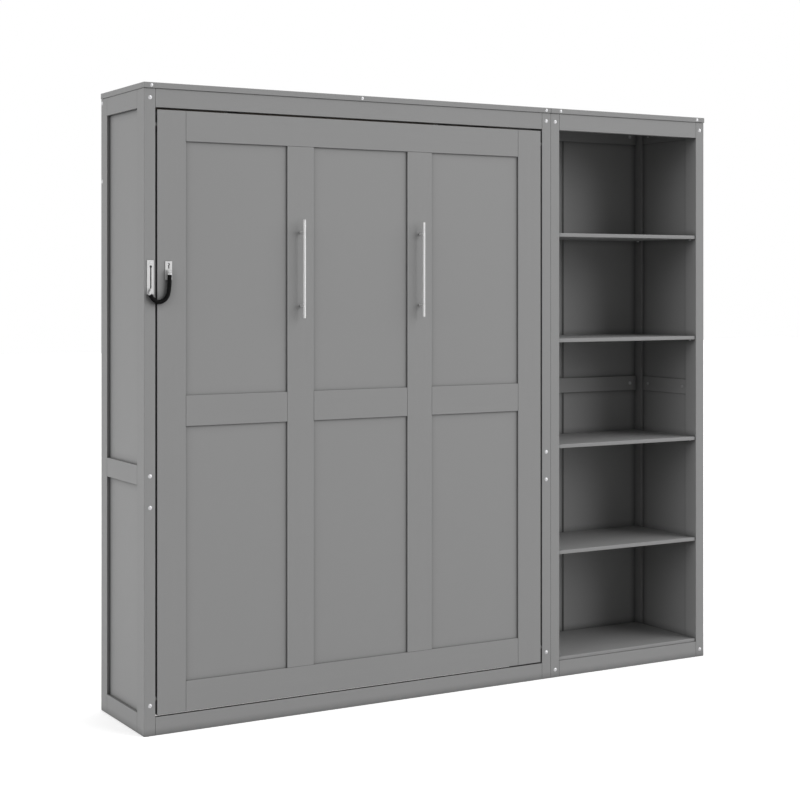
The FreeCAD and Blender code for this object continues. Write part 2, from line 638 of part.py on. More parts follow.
def back_dowels():
    """Dowels between the back rails and the rear posts."""
    y = (BACK_RAIL_Y[0] + BACK_RAIL_Y[1]) / 2 + 3
    rows = ((15.0, 48.0), (UNIT_MID_Z[0] + 12, UNIT_MID_Z[1] - 12), (TOP_RAIL_Z + 12, BODY_H - 12))
    xs = (BED_W + POST_W, TOTAL_W - POST_W)
    return [rod_x(x - 15, x + 15, y, z, 3.0) for x in xs for row in rows for z in row]


def back_panel_boxes(depth):
    """Four thin back panels, two wide and two high."""
    x0 = BED_W + POST_W - depth
    x1 = TOTAL_W - POST_W + depth
    middle = (JOINER_X[0] + JOINER_X[1]) / 2
    rows = ((TOE_H, UNIT_MID_Z[0]), (UNIT_MID_Z[1], TOP_RAIL_Z))
    y0, y1 = BACK_PANEL_Y
    return [box(a, b, y0, y1, z0 - depth, z1 + depth)
            for a, b in ((x0, middle - 1), (middle + 1, x1)) for z0, z1 in rows]


def joiner_parts():
    """H-section strips holding the inner edges of the back panels."""
    x0, x1 = JOINER_X
    middle = (x0 + x1) / 2
    y0, y1 = BACK_PANEL_Y
    parts = []
    for z0, z1 in ((TOE_H, UNIT_MID_Z[0]), (UNIT_MID_Z[1], TOP_RAIL_Z)):
        front = box(x0, x1, y0 - 1.5, y0, z0, z1)
        back = box(x0, x1, y1, y1 + 1.5, z0, z1)
        web = box(middle - 1, middle + 1, y0, y1, z0, z1)
        parts.append(front.fuse([back, web]).removeSplitter())
    return parts


# ---------------------------------------------------------------- chain lock
def chain_plate_holes():
    """Screw holes and the stud pocket behind the slotted plate."""
    screws = [rod_y(STUD_X, -3, 20, z, PLATE_SCREW_R) for z in SLOT_SCREWS_Z]
    pocket = box(STUD_X - 5, STUD_X + 5, -1, 4, STUD_Z - 4.5, 1614)
    return screws + [pocket]


def chain_plates():
    """Slotted plate on the post and the hinge plate on the bed front."""
    plate = box(*SLOT_PLATE_X, -PLATE_T, 0, *SLOT_PLATE_Z)
    slot = box(STUD_X - SLOT_HALF, STUD_X + SLOT_HALF, -3, 1, STUD_Z - 2.5, SLOT_TOP)
    key = rod_y(STUD_X, -3, 1, SLOT_TOP, SLOT_KEY_R)
    screws = [rod_y(STUD_X, -PLATE_T, 20, z, PLATE_SCREW_R) for z in SLOT_SCREWS_Z]
    heads = [rod_y(STUD_X, -PLATE_T - 1, -PLATE_T, z, PLATE_SCREW_HEAD_R) for z in SLOT_SCREWS_Z]
    node("chain_slot_plate", [cut_all(plate, [slot, key] + screws)])
    anchor = box(*ANCHOR_X, -PLATE_T, 0, *ANCHOR_Z)
    ears = [box(x, x + 2.4, -13.5, -PLATE_T, CHAIN_HINGE_Z - 4, CHAIN_HINGE_Z + 5)
            for x in (CHAIN_X - 8, CHAIN_X + 5.6)]
    pin = rod_x(CHAIN_X - 8, CHAIN_X + 8, CHAIN_Y, CHAIN_HINGE_Z, 2.0)
    anchor_screws = [rod_y(CHAIN_X, 2, 18, ANCHOR_KEY_Z, PLATE_SCREW_R),
                     rod_y(CHAIN_X, -PLATE_T, 18, ANCHOR_SCREW_Z, PLATE_SCREW_R)]
    anchor_heads = [rod_y(CHAIN_X, 1.5, 2.5, ANCHOR_KEY_Z, 3.0),
                    rod_y(CHAIN_X, -PLATE_T - 0.4, -PLATE_T, ANCHOR_SCREW_Z, PLATE_SCREW_HEAD_R)]
    pocket = rod_y(CHAIN_X, -1, 2.5, ANCHOR_KEY_Z, 4.0)
    keyhole = [rod_y(CHAIN_X, -3, 1, ANCHOR_KEY_Z, ANCHOR_KEY_R),
               box(CHAIN_X - 2.3, CHAIN_X + 2.3, -3, 1, ANCHOR_KEY_Z - ANCHOR_KEY_DROP,
                   ANCHOR_KEY_Z)]
    body = cut_all(anchor, anchor_screws + keyhole).fuse(ears + [pin]).removeSplitter()
    node("chain_anchor_plate", [body])
    stile_cut = cut_all(NODES["front_stile_left"].Solids[0], anchor_screws + [pocket])
    node("front_stile_left", [stile_cut])
    add("cabinet_screws", [s.fuse(h).removeSplitter() for s, h in zip(screws, heads)])
    add("bed_screws", [s.fuse(h).removeSplitter() for s, h in zip(anchor_screws, anchor_heads)])


def rounded_path(points):
    """Straight runs joined by tangent arcs, each as large as its two runs allow."""
    edges = []
    last = points[0]
    for i in range(1, len(points) - 1):
        corner = points[i]
        back = points[i - 1] - corner
        ahead = points[i + 1] - corner
        half_turn = (math.pi - back.getAngle(ahead)) / 2
        end_run = i == len(points) - 2
        reach = min(back.Length * 0.45, ahead.Length * (0.9 if end_run else 0.45))
        radius = reach / math.tan(half_turn)
        start = corner + back.normalize() * reach
        stop = corner + ahead.normalize() * reach
        middle = corner + (back + ahead).normalize() * (radius / math.cos(half_turn) - radius)
        edges.append(Part.LineSegment(last, start).toShape())
        edges.append(Part.Arc(start, middle, stop).toShape())
        print(f"chain bend radius {radius:.1f}")
        last = stop
    edges.append(Part.LineSegment(last, points[-1]).toShape())
    return Part.Wire(edges)


def chain():
    """Sleeved chain hanging in a bend from the hinge to the stud in the slot."""
    points = [V(x, CHAIN_Y, z) for x, z in CHAIN_ROUTE]
    path = rounded_path(points)
    ring = Part.Wire([Part.makeCircle(CHAIN_R, points[0], V(0, 0, -1))])
    sleeve = path.makePipeShell([ring], True, False)
    node("chain_sleeve", [sleeve])
    section = math.pi * CHAIN_R ** 2
    print(f"chain length {path.Length:.1f}, volume ratio {sleeve.Volume / section / path.Length:.4f}")

    seat_z = points[0].z
    ferrule = rod_z(CHAIN_X, CHAIN_Y, seat_z - 4, seat_z + 2.4, CHAIN_R + FERRULE_WALL)
    ferrule = ferrule.cut(rod_z(CHAIN_X, CHAIN_Y, seat_z - 5, seat_z, CHAIN_R))
    tongue = box(CHAIN_X - 4.5, CHAIN_X + 4.5, CHAIN_Y - 3, CHAIN_Y + 3, seat_z, CHAIN_HINGE_Z)
    eye = rod_x(CHAIN_X - 4.5, CHAIN_X + 4.5, CHAIN_Y, CHAIN_HINGE_Z, 4.2)
    hinge = ferrule.fuse([tongue, eye])
    hinge = hinge.cut(rod_x(CHAIN_X - 6, CHAIN_X + 6, CHAIN_Y, CHAIN_HINGE_Z, 2.0 + FIT))

    end = points[-1]
    heading = (end - points[-2]).normalize()
    cap = Part.makeCylinder(CAP_R, 4.0, end, heading)
    tip = end + heading * 3
    reach = V(STUD_X, CHAIN_Y, STUD_Z) - tip
    link = box(-3.6, 3.6, CHAIN_Y - 1.5, CHAIN_Y + 1.5, 0, reach.Length)
    link.rotate(V(0, 0, 0), V(0, 1, 0), math.degrees(math.atan2(reach.x, reach.z)))
    link.translate(V(tip.x, 0, tip.z))
    button = rod_y(STUD_X, CHAIN_Y - 1.5, CHAIN_Y + 1.5, STUD_Z, 5.2)
    collar = rod_y(STUD_X, CHAIN_Y + 1.5, -2.6, STUD_Z, 4.0)
    shank = rod_y(STUD_X, -2.6, -0.4, STUD_Z, 1.8)
    end_part = cap.fuse([link, button, collar, shank]).removeSplitter()
    node("chain_fittings", [hinge.removeSplitter(), end_part])


def row_offset():
    """Move from the shop frame to the middle of the footprint, chain left out."""
    total = FreeCAD.BoundBox()
    for name, shape in NODES.items():
        if not name.startswith("chain_sleeve") and name != "chain_fittings":
            total.add(shape.BoundBox)
    print("offset", round(-total.Center.x, 4), round(-total.Center.y, 4))
    return V(-total.Center.x, -total.Center.y, 0)


def build():
    """Make every sub-part and write one STEP file for each."""
    bed_cabinet()
    lids()
    frame_bolts()
    add("cabinet_screws", unit_link_parts())
    wall_brackets()
    bed_stops()
    gap_pads()
    pivot_plates()
    strut_brackets()
    struts()
    bed_front()
    bed_frame()
    foot_leg()
    shelf_unit()
    chain_plates()
    chain()
    os.makedirs("parts", exist_ok=True)
    offset = row_offset()
    for name, shape in NODES.items():
        shape.translate(offset)
        shape.exportStep(os.path.join("parts", name + ".step"))
        b = shape.BoundBox
        print(f"{name:24s} solids {len(shape.Solids):3d}  valid {shape.isValid()}  "
              f"X {b.XMin:8.1f} {b.XMax:8.1f}  Y {b.YMin:7.1f} {b.YMax:7.1f}  "
              f"Z {b.ZMin:7.1f} {b.ZMax:7.1f}")
    print(len(NODES), "nodes")


build()
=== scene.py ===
"""Finishes, fine hardware and studio stage for a wall bed with a shelf unit, laid out as an add-on."""
import math

import bpy
import bmesh
from mathutils import Matrix, Vector


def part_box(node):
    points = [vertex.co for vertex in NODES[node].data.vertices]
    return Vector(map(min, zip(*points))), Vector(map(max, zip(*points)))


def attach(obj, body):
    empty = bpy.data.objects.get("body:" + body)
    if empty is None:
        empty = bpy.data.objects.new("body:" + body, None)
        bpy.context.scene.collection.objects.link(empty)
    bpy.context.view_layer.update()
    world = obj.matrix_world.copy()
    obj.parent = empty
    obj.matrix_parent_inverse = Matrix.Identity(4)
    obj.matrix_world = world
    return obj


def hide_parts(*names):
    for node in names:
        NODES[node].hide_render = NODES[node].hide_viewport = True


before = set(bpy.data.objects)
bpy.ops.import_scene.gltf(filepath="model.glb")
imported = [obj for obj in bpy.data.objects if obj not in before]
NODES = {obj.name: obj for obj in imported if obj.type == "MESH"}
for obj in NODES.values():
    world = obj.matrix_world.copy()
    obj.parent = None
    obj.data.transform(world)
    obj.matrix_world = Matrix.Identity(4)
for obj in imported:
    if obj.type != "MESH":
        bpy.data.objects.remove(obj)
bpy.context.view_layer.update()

bl_info = {
    "name": "Wall Bed Studio",
    "version": (1, 0, 0),
    "blender": (4, 5, 0),
    "location": "View3D > Sidebar > Wall Bed",
    "description": "Finishes and fine hardware for a fold-down wall bed with shelves",
    "category": "Object",
}

# reach and colour of the painted shade in the inner corners of the paint
CORNER_SHADE_REACH = 0.03
CORNER_SHADE_TONE = 0.12
SIDE_BOARD_T = 0.024
SLAT_HOLDER_WALL = 0.0022
SLAT_HOLDER_REACH = 0.032
MIDDLE_BEAM_HALF = 0.017
BOARD_SCREW_COUNT = 7
BOARD_SCREW_FROM = 0.13
BOARD_SCREW_PITCH = 0.31
# control points of the hanging chain, as x and z steps from its hinge end
CHAIN_ROUTE = ((0.0, 0.0), (0.0, -0.0466), (-0.0082, -0.0826), (-0.0314, -0.0994),
               (-0.0593, -0.0933), (-0.0715, -0.0717))

UPRIGHT_BOARDS = (
    "bed_post_front_left", "bed_post_front_right", "bed_posts_rear",
    "shelf_post_front_left", "shelf_post_front_right", "shelf_posts_rear",
    "front_stile_left", "front_stile_right", "front_mullions", "bed_side_boards",
)
CROSS_BOARDS = (
    "bed_front_rails", "bed_rear_rails", "bed_stop_blocks", "front_end_rails", "front_mid_rails",
    "shelf_back_rails", "shelf_front_rails", "shelf_bottom_board", "shelf_boards",
    "bed_end_boards", "bed_top_panel", "shelf_top_panel", "top_edge_strips",
)
DEPTH_BOARDS = ("bed_side_rails", "bed_inner_rails", "shelf_side_rails")
SHEET_PANELS = ("bed_side_panels", "shelf_side_panels", "shelf_back_panels", "front_panels")


# ---------------------------------------------------------------- sizes and colours a user may change
class WallBedFinish(bpy.types.PropertyGroup):
    """Paint, metal and timber of the bed."""

    paint: bpy.props.FloatVectorProperty(
        name="Paint", description="Satin lacquer on every board", subtype="COLOR",
        size=3, min=0.0, max=1.0, default=(0.262, 0.262, 0.262))
    slat_timber: bpy.props.FloatVectorProperty(
        name="Slat timber", description="Birch plywood of the slats", subtype="COLOR",
        size=3, min=0.0, max=1.0, default=(0.60, 0.44, 0.27))
    brushed: bpy.props.FloatVectorProperty(
        name="Brushed steel", description="Pull bars and chain plates", subtype="COLOR",
        size=3, min=0.0, max=1.0, default=(0.58, 0.58, 0.58))
    plated: bpy.props.FloatVectorProperty(
        name="Plated steel", description="Bolt heads and screws", subtype="COLOR",
        size=3, min=0.0, max=1.0, default=(0.52, 0.52, 0.53))
    edge_radius: bpy.props.FloatProperty(
        name="Edge radius", description="Eased edge of the boards", subtype="DISTANCE",
        unit="LENGTH", min=0.0, max=0.004, default=0.0015)


class WallBedStage(bpy.types.PropertyGroup):
    """Camera, floor and lights."""

    lens: bpy.props.FloatProperty(
        name="Lens", description="Focal length on a 36 mm sensor", min=20.0, max=200.0,
        default=74.63)
    floor: bpy.props.FloatVectorProperty(
        name="Floor", description="Plain pale floor", subtype="COLOR",
        size=3, min=0.0, max=1.0, default=(0.93, 0.93, 0.93))
    key_strength: bpy.props.FloatProperty(
        name="Key light", description="Broad light from the right and above", min=0.0, default=2.95)
    side_strength: bpy.props.FloatProperty(
        name="Side light", description="Broad light on the outer left side", min=0.0, default=1.35)
    sky_low: bpy.props.FloatProperty(
        name="Low surroundings", description="Strength below the horizon, in front of the bed",
        min=0.0, default=0.30)
    sky_high: bpy.props.FloatProperty(
        name="High surroundings", description="Strength above the horizon, in front of the bed",
        min=0.0, default=0.33)
    sky_back: bpy.props.FloatProperty(
        name="Bright surroundings", description="Strength of the surroundings behind the bed",
        min=0.0, default=1.0)


# ---------------------------------------------------------------- shader maths
class Wire:
    """An output socket whose arithmetic adds the nodes it needs."""

    def __init__(self, tree, socket):
        self.tree = tree
        self.socket = socket

    def node(self, kind, settings=None, inputs=None, output=0):
        """Any node: its settings go in first, then the values or wires of its sockets."""
        made = self.tree.nodes.new(kind)
        for name, value in (settings or {}).items():
            if name == "stops":
                ramp = made.color_ramp.elements
                while len(ramp) < len(value):
                    ramp.new(0.5)
                for stop, (place, colour) in zip(ramp, value):
                    stop.position = place
                    stop.color = (*colour, 1.0)
            else:
                setattr(made, name, value)
        for key, value in (inputs or {}).items():
            if isinstance(value, Wire):
                self.tree.links.new(value.socket, made.inputs[key])
            else:
                made.inputs[key].default_value = value
        return Wire(self.tree, made.outputs[output])

    def _maths(self, operation, first, second):
        """One Math node on two values, or one Vector Math node where a side is a vector."""
        sides = [side for side in (first, second) if isinstance(side, Wire)]
        if any(side.socket.type == "VECTOR" for side in sides):
            values = [side if isinstance(side, Wire) else (side, side, side)
                      for side in (first, second)]
            kind = "ShaderNodeVectorMath"
        else:
            values = [first, second]
            kind = "ShaderNodeMath"
        return self.node(kind, {"operation": operation}, {0: values[0], 1: values[1]})

    def __add__(self, other):
        return self._maths("ADD", self, other)

    def __radd__(self, other):
        return self._maths("ADD", other, self)

    def __sub__(self, other):
        return self._maths("SUBTRACT", self, other)

    def __rsub__(self, other):
        return self._maths("SUBTRACT", other, self)

    def __mul__(self, other):
        return self._maths("MULTIPLY", self, other)

    def __rmul__(self, other):
        return self._maths("MULTIPLY", other, self)

    def scaled(self, x, y, z):
        """A vector stretched along its three axes."""
        return self.node("ShaderNodeVectorMath", {"operation": "MULTIPLY"}, {0: self, 1: (x, y, z)})

    def noise(self, scale, detail=2.0, roughness=0.5):
        """Soft noise read at this vector."""
        return self.node("ShaderNodeTexNoise", {}, {
            "Vector": self, "Scale": scale, "Detail": detail, "Roughness": roughness})

    def blend(self, first, second):
        """Colour between two others, by this value."""
        return self.node("ShaderNodeMix", {"data_type": "RGBA"}, {
            0: self, 6: rgba(first), 7: rgba(second)}, output=2)

    def ramp(self, *stops):
        """Colour read off a ramp of places and colours."""
        return self.node("ShaderNodeValToRGB", {"stops": stops}, {0: self})

    def zigzag(self):
        """Value folded to run up and down between 0 and 1."""
        return self.node("ShaderNodeMath", {"operation": "PINGPONG"}, {0: self, 1: 1.0})

    def eased(self, low, high, first=0.0, last=1.0):
        """Smooth step between two values as this one goes from low to high."""
        return self.node("ShaderNodeMapRange", {"interpolation_type": "SMOOTHSTEP"}, {
            "Value": self, "From Min": low, "From Max": high, "To Min": first, "To Max": last})

    def part(self, axis):
        """One component of a vector."""
        return self.node("ShaderNodeSeparateXYZ", {}, {0: self}, output="XYZ".index(axis))

    def corners(self, reach):
        """1 in the open, falling towards 0 in inner corners narrower than a reach in metres."""
        return self.node("ShaderNodeAmbientOcclusion", {"samples": 12}, {"Distance": reach},
                         output="AO")

    def above(self, limit):
        """1 where this value is over a limit, else 0."""
        return self.node("ShaderNodeMath", {"operation": "GREATER_THAN"}, {0: self, 1: limit})

    def bump(self, height, strength):
        """Normal that this value raises by up to a height in metres."""
        return self.node("ShaderNodeBump", {}, {
            "Height": self, "Distance": height, "Strength": strength})


def rgba(colour):
    """A colour as a socket takes it."""
    if isinstance(colour, Wire):
        return colour
    return (*tuple(colour)[:3], 1.0)


def shade(colour, amount):
    """A colour made lighter or darker."""
    return tuple(min(1.0, part * amount) for part in tuple(colour)[:3])


def material(name, recipe):
    """The named material; its recipe gives the sockets from the object's own coordinates."""
    made = bpy.data.materials.get(name)
    if made:
        return made
    made = bpy.data.materials.new(name)
    made.use_nodes = True
    tree = made.node_tree
    surface = tree.nodes["Principled BSDF"]
    place = tree.nodes.new("ShaderNodeTexCoord")
    for key, value in recipe(Wire(tree, place.outputs["Object"])).items():
        socket = surface.inputs[key]
        if isinstance(value, Wire):
            tree.links.new(value.socket, socket)
        else:
            socket.default_value = value
    return made


# ---------------------------------------------------------------- finishes
def finish_settings():
    """The user's colours and sizes."""
    return bpy.context.scene.wall_bed_finish


def painted_corner_shade(place, tone):
    """Paint colour with painted shade that deepens into the inner corners."""
    return place.corners(CORNER_SHADE_REACH).blend(shade(finish_settings().paint, CORNER_SHADE_TONE), tone)


def painted(direction):
    """Satin grey lacquer whose faint roller marks run along the board."""
    stretch = {"upright": (70, 70, 2.2), "across": (2.2, 70, 70), "deep": (70, 4, 70)}[direction]
    colour = finish_settings().paint

    def recipe(place):
        strokes = place.scaled(*stretch).noise(1.0, 3.0, 0.55)
        clouds = place.noise(1.7, 2.0)
        peel = place.noise(620.0, 2.0)
        tone = (strokes * 0.45 + clouds * 0.55).blend(shade(colour, 0.955), shade(colour, 1.045))
        return {
            # base colour carries painted shade in the inner corners
            "Base Color": painted_corner_shade(place, tone),
            "Roughness": 0.46 + strokes * 0.10 + clouds * 0.05,
            "Normal": (peel * 0.6 + strokes * 0.4).bump(0.00012, 0.35),
            "Specular IOR Level": 0.30,
        }

    return material("grey_lacquer_" + direction, recipe)


def panel_paint():
    """The same lacquer sprayed on thin sheet, finer and a little flatter."""
    colour = finish_settings().paint

    def recipe(place):
        clouds = place.noise(1.1, 3.0)
        mist = place.noise(900.0, 1.0)
        tone = clouds.blend(shade(colour, 0.965), shade(colour, 1.035))
        return {
            # base colour carries painted shade in the inner corners
            "Base Color": painted_corner_shade(place, tone),
            "Roughness": 0.46 + clouds * 0.07,
            "Normal": mist.bump(0.00006, 0.3),
            "Specular IOR Level": 0.30,
        }

    return material("grey_lacquer_sheet", recipe)


def plywood():
    """Birch plywood: grain along the slat and thin layers on its edges."""
    colour = finish_settings().slat_timber

    def recipe(place):
        warp = place.scaled(3, 9, 9).noise(1.0, 2.0) * 0.8
        grain = (place.scaled(1.3, 60, 60) + warp).noise(1.0, 6.0, 0.62)
        pores = place.scaled(40, 900, 900).noise(1.0, 2.0)
        face = (grain * 0.8 + pores * 0.2).ramp(
            (0.30, shade(colour, 0.72)), (0.52, colour), (0.74, shade(colour, 1.22)))
        layers = (place.part("Y") * 680.0).zigzag()
        edge = layers.above(0.5).blend(shade(colour, 0.55), shade(colour, 1.02))
        facing = place.node("ShaderNodeTexCoord", output="Normal").part("Y")
        return {
            "Base Color": (facing * facing).above(0.5).blend(edge, face),
            "Roughness": 0.42 + grain * 0.16,
            "Normal": (grain * 0.7 + pores * 0.3).bump(0.0003, 0.3),
        }

    return material("birch_plywood", recipe)


def brushed_steel(name="brushed_steel", stretch=(1400, 1400, 14), tint=1.0):
    """Steel drawn along its length in fine parallel lines."""
    colour = shade(finish_settings().brushed, tint)

    def recipe(place):
        lines = place.scaled(*stretch).noise(1.0, 4.0, 0.7)
        haze = place.noise(22.0, 2.0)
        return {
            "Base Color": lines.blend(shade(colour, 0.86), shade(colour, 1.12)),
            "Metallic": 0.75,
            "Roughness": 0.52 + lines * 0.18 + haze * 0.05,
            "Normal": lines.bump(0.00005, 0.35),
        }

    return material(name, recipe)


def plated_steel():
    """Bright plating with a light handling haze."""
    colour = finish_settings().plated

    def recipe(place):
        haze = place.noise(90.0, 4.0)
        pits = place.noise(2400.0, 1.0)
        return {
            "Base Color": haze.blend(shade(colour, 0.92), shade(colour, 1.06)),
            "Metallic": 0.75,
            "Roughness": 0.46 + haze * 0.14,
            "Normal": pits.bump(0.00003, 0.3),
        }

    return material("bright_plated_steel", recipe)


def zinc_plate():
    """Dull zinc with a soft spangle."""
    def recipe(place):
        spangle = place.node("ShaderNodeTexVoronoi", {}, {"Vector": place, "Scale": 210.0})
        haze = place.noise(35.0, 3.0)
        return {
            "Base Color": (spangle * 0.6 + haze * 0.4).blend((0.34, 0.35, 0.36), (0.52, 0.53, 0.54)),
            "Metallic": 0.9,
            "Roughness": 0.36 + spangle * 0.18,
            "Normal": spangle.bump(0.00004, 0.25),
        }

    return material("zinc_plate", recipe)


def black_powder():
    """Black powder coat with its fine grain."""
    def recipe(place):
        grain = place.noise(1500.0, 2.0)
        cloud = place.noise(14.0, 2.0)
        return {
            "Base Color": cloud.blend((0.018, 0.018, 0.019), (0.032, 0.032, 0.034)),
            "Roughness": 0.44 + grain * 0.18,
            "Normal": grain.bump(0.00018, 0.5),
        }

    return material("black_powder_coat", recipe)


def polished_rod():
    """Ground and polished strut rod, with the fine turning lines left on it."""
    def recipe(place):
        lines = place.scaled(30, 2600, 2600).noise(1.0, 2.0)
        return {
            "Base Color": lines.blend((0.78, 0.78, 0.79), (0.88, 0.88, 0.89)),
            "Metallic": 1.0,
            "Roughness": 0.09 + lines * 0.08,
            "Normal": lines.bump(0.00001, 0.2),
        }

    return material("polished_rod", recipe)


def rubber():
    """Grey moulded rubber."""
    def recipe(place):
        bloom = place.noise(60.0, 3.0)
        grain = place.noise(1900.0, 1.0)
        return {
            "Base Color": bloom.blend((0.10, 0.10, 0.10), (0.15, 0.15, 0.148)),
            "Roughness": 0.62 + bloom * 0.2,
            "Normal": grain.bump(0.0001, 0.4),
        }

    return material("grey_rubber", recipe)


def moulded_plastic(name, low, high):
    """Moulded plastic with a fine spark-eroded texture."""
    def recipe(place):
        grain = place.noise(1300.0, 2.0)
        cloud = place.noise(25.0, 2.0)
        return {
            "Base Color": cloud.blend(low, high),
            "Roughness": 0.40 + grain * 0.20,
            "Normal": grain.bump(0.0001, 0.35),
        }

    return material(name, recipe)


def sleeve_black():
    """Black sleeve with the links of the chain faintly showing through it."""
    def recipe(place):
        weave = place.node("ShaderNodeTexVoronoi", {}, {"Vector": place, "Scale": 560.0})
        links = place.noise(85.0, 1.0)
        return {
            "Base Color": weave.blend((0.0015, 0.0015, 0.0015), (0.004, 0.004, 0.004)),
            "Roughness": 0.52 + weave * 0.2,
            "Specular IOR Level": 0.07,
            "Normal": (weave * 0.5 + links * 0.5).bump(0.0006, 0.35),
        }

    return material("black_sleeve", recipe)


# ---------------------------------------------------------------- mesh helpers
def coat(names, finish):
    """Give each named CAD node one material."""
    for name in names:
        if name not in NODES:
            raise RuntimeError("no node " + name)
        data = NODES[name].data
        data.materials.clear()
        data.materials.append(finish)


def ease_edges(names, radius, segments=2, angle=50.0, clamp=False):
    """Rounded edges on CAD nodes, as modifiers over their own mesh."""
    for name in names:
        piece = NODES[name]
        piece.data.polygons.foreach_set("use_smooth", [True] * len(piece.data.polygons))
        add_easing(piece, radius, segments, angle, clamp)


def add_easing(piece, radius, segments=2, angle=50.0, clamp=False):
    """Weld a piece, join its flat faces, round its edges and even out its normals."""
    weld = piece.modifiers.new("weld", "WELD")
    weld.merge_threshold = 0.00001
    flats = piece.modifiers.new("flats", "DECIMATE")
    flats.decimate_type = "DISSOLVE"
    flats.angle_limit = math.radians(0.6)
    bevel = piece.modifiers.new("eased", "BEVEL")
    bevel.width = radius
    bevel.segments = segments
    bevel.limit_method = "ANGLE"
    bevel.angle_limit = math.radians(angle)
    bevel.miter_outer = "MITER_SHARP"
    bevel.use_clamp_overlap = clamp
    bevel.loop_slide = False
    normals = piece.modifiers.new("normals", "WEIGHTED_NORMAL")
    normals.keep_sharp = True
    normals.weight = 60


def new_piece(name, body, shape, finish, radius=0.0):
    """A mesh object made from a bmesh, riding on a body, with its finish and material slot."""
    data = bpy.data.meshes.new(name)
    bmesh.ops.recalc_face_normals(shape, faces=shape.faces)
    shape.to_mesh(data)
    shape.free()
    piece = bpy.data.objects.new(name, data)
    bpy.context.scene.collection.objects.link(piece)
    data.materials.append(finish)
    data.polygons.foreach_set("use_smooth", [True] * len(data.polygons))
    if radius:
        add_easing(piece, radius)
    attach(piece, body)
    return piece


def add_block(shape, low, high):
    """A block between two corners."""
    size = Vector(high) - Vector(low)
    middle = (Vector(high) + Vector(low)) / 2
    place = Matrix.Translation(middle) @ Matrix.Diagonal((*size, 1.0))
    bmesh.ops.create_cube(shape, size=1.0, matrix=place)


def add_disc_x(shape, centre, radius, half_length, sides=40, inner=0.0):
    """A washer or nut about the X axis, with an optional hole."""
    profile = [(radius, -half_length), (radius, half_length)]
    if inner:
        profile += [(inner, half_length), (inner, -half_length)]
    rings = []
    for i in range(sides):
        a = 2 * math.pi * i / sides
        rings.append([shape.verts.new(Vector(centre) + Vector(
            (x, r * math.cos(a), r * math.sin(a)))) for r, x in profile])
    count = len(profile)
    closed = count if inner else count - 1
    for i in range(sides):
        here = rings[i]
        there = rings[(i + 1) % sides]
        for j in range(closed):
            k = (j + 1) % count
            shape.faces.new((here[j], here[k], there[k], there[j]))
    if not inner:
        shape.faces.new([ring[0] for ring in rings])
        shape.faces.new([ring[1] for ring in reversed(rings)])


def loose_boxes(name):
    """Low and high corners of every separate solid in a node."""
    data = NODES[name].data
    shape = bmesh.new()
    shape.from_mesh(data)
    bmesh.ops.remove_doubles(shape, verts=shape.verts, dist=0.00001)
    left = set(shape.verts)
    boxes = []
    while left:
        stack = [left.pop()]
        island = []
        while stack:
            vert = stack.pop()
            island.append(vert.co.copy())
            for edge in vert.link_edges:
                other = edge.other_vert(vert)
                if other in left:
                    left.remove(other)
                    stack.append(other)
        low = Vector([min(co[i] for co in island) for i in range(3)])
        high = Vector([max(co[i] for co in island) for i in range(3)])
        boxes.append((low, high))
    shape.free()
    return sorted(boxes, key=lambda pair: tuple(round(x, 4) for x in pair[0]))


# ---------------------------------------------------------------- operators
class WALLBED_OT_boards(bpy.types.Operator):
    """Paint and ease every post, rail, shelf and lid."""

    bl_idname = "wallbed.boards"
    bl_label = "Painted boards"

    def execute(self, context):
        radius = context.scene.wall_bed_finish.edge_radius
        coat(UPRIGHT_BOARDS, painted("upright"))
        coat(CROSS_BOARDS, painted("across"))
        coat(DEPTH_BOARDS, painted("deep"))
        ease_edges(UPRIGHT_BOARDS + CROSS_BOARDS + DEPTH_BOARDS, radius)
        return {"FINISHED"}


class WALLBED_OT_panels(bpy.types.Operator):
    """Paint the thin side, back and front panels and the strips between them."""

    bl_idname = "wallbed.panels"
    bl_label = "Sheet panels"

    def execute(self, context):
        coat(SHEET_PANELS, panel_paint())
        coat(("shelf_back_joiners",),
             moulded_plastic("joiner_plastic", (0.018, 0.018, 0.018), (0.03, 0.03, 0.03)))
        ease_edges(SHEET_PANELS, 0.0004, 1)
        ease_edges(("shelf_back_joiners",), 0.0005, 1)
        return {"FINISHED"}


class WALLBED_OT_pull_bars(bpy.types.Operator):
    """Brush the pull bars and their standoffs."""

    bl_idname = "wallbed.pull_bars"
    bl_label = "Pull bars"

    def execute(self, context):
        coat(("handles",), brushed_steel())
        ease_edges(("handles",), 0.0005, 2, 40.0, True)
        return {"FINISHED"}


class WALLBED_OT_fasteners(bpy.types.Operator):
    """Plate the bolts, screws, cam discs and shelf pins."""

    bl_idname = "wallbed.fasteners"
    bl_label = "Bolts and screws"

    def execute(self, context):
        names = ("frame_bolts", "top_edge_screws", "cabinet_screws", "bed_screws", "leg_bolts",
                 "shelf_pins", "strut_studs", "cam_locks")
        coat(names, plated_steel())
        ease_edges(names, 0.0003, 2, 40.0, True)
        coat(("dowels",), plywood())
        coat(("cabinet_pads",), rubber())
        ease_edges(("dowels", "cabinet_pads"), 0.0004, 2)
        return {"FINISHED"}


